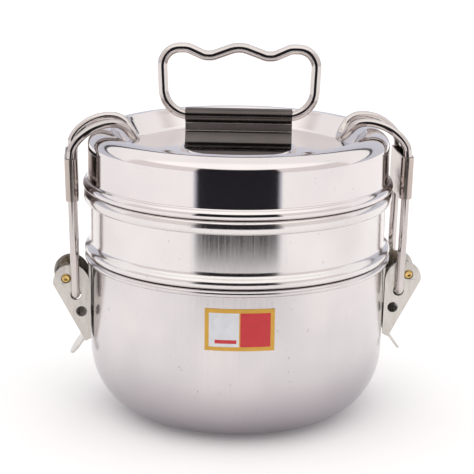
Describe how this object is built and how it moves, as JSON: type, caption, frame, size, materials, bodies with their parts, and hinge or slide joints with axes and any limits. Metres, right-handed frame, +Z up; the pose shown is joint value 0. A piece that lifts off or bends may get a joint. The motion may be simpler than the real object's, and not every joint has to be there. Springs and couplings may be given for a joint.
{
  "type": "tiffin carrier",
  "caption": "Steel tiffin carrier: round-bottomed pot, nested upper container and lid with swinging wire handle, held by toggle levers and wire bails on both sides.",
  "frame": {"origin": "on the table under the centre of the pot's base", "axes": "+Z up, the two clips on +X and -X, the label towards -Y"},
  "size_m": [0.1858, 0.1554, 0.1857],
  "materials": {
    "pot_steel": "satin",
    "tier_steel": "vertically brushed",
    "lid_steel": "polished",
    "bracket_steel": "satin",
    "bright_wire": "bright",
    "clip_steel": "satin",
    "sleeve_steel": "satin",
    "brass": "satin",
    "label": "printed foil"
  },
  "bodies": {
    "pot": {"bottom_pot": "pot_steel", "front_label": "label", "right_hinge_base": "clip_steel", "right_pivot_pin": "brass", "left_hinge_base": "clip_steel", "left_pivot_pin": "brass"},
    "upper": {"upper_container": "tier_steel"},
    "lid_body": {"lid": "lid_steel", "handle_bracket": "bracket_steel"},
    "handle": {"handle_wire": "bright_wire"},
    "right_lever_body": {"right_lever": "clip_steel"},
    "right_bail": {"right_bail_wire": "bright_wire", "right_bail_sleeve": "sleeve_steel"},
    "left_lever_body": {"left_lever": "clip_steel"},
    "left_bail": {"left_bail_wire": "bright_wire", "left_bail_sleeve": "sleeve_steel"}
  },
  "joints": [
    {"name": "upper_container_turn", "type": "hinge", "parent": "pot", "child": "upper", "pos_m": [0, 0, 0.081], "axis": [0, 0, 1], "continuous": true},
    {"name": "lid_turn", "type": "hinge", "parent": "upper", "child": "lid_body", "pos_m": [0, 0, 0.114], "axis": [0, 0, 1], "continuous": true},
    {"name": "handle_swing", "type": "hinge", "parent": "lid_body", "child": "handle", "pos_m": [0, 0, 0.1495], "axis": [0.9925, -0.1219, 0], "range_deg": [-105, 105]},
    {"name": "right_lever_open", "type": "hinge", "parent": "pot", "child": "right_lever_body", "pos_m": [0.0864, 0, 0.0695], "axis": [0, -1, 0], "range_deg": [0, 105]},
    {"name": "right_bail_pivot", "type": "hinge", "parent": "right_lever_body", "child": "right_bail", "pos_m": [0.0816, 0, 0.0614], "axis": [0, 1, 0], "range_deg": [0, 100]},
    {"name": "left_lever_open", "type": "hinge", "parent": "pot", "child": "left_lever_body", "pos_m": [-0.0864, 0, 0.0695], "axis": [0, 1, 0], "range_deg": [0, 105]},
    {"name": "left_bail_pivot", "type": "hinge", "parent": "left_lever_body", "child": "left_bail", "pos_m": [-0.0816, 0, 0.0614], "axis": [0, -1, 0], "range_deg": [0, 100]}
  ],
  "couplings": [
    {"joint": "right_bail_pivot", "follows": "right_lever_open", "ratio": 0.935},
    {"joint": "left_bail_pivot", "follows": "left_lever_open", "ratio": 0.935}
  ]
}
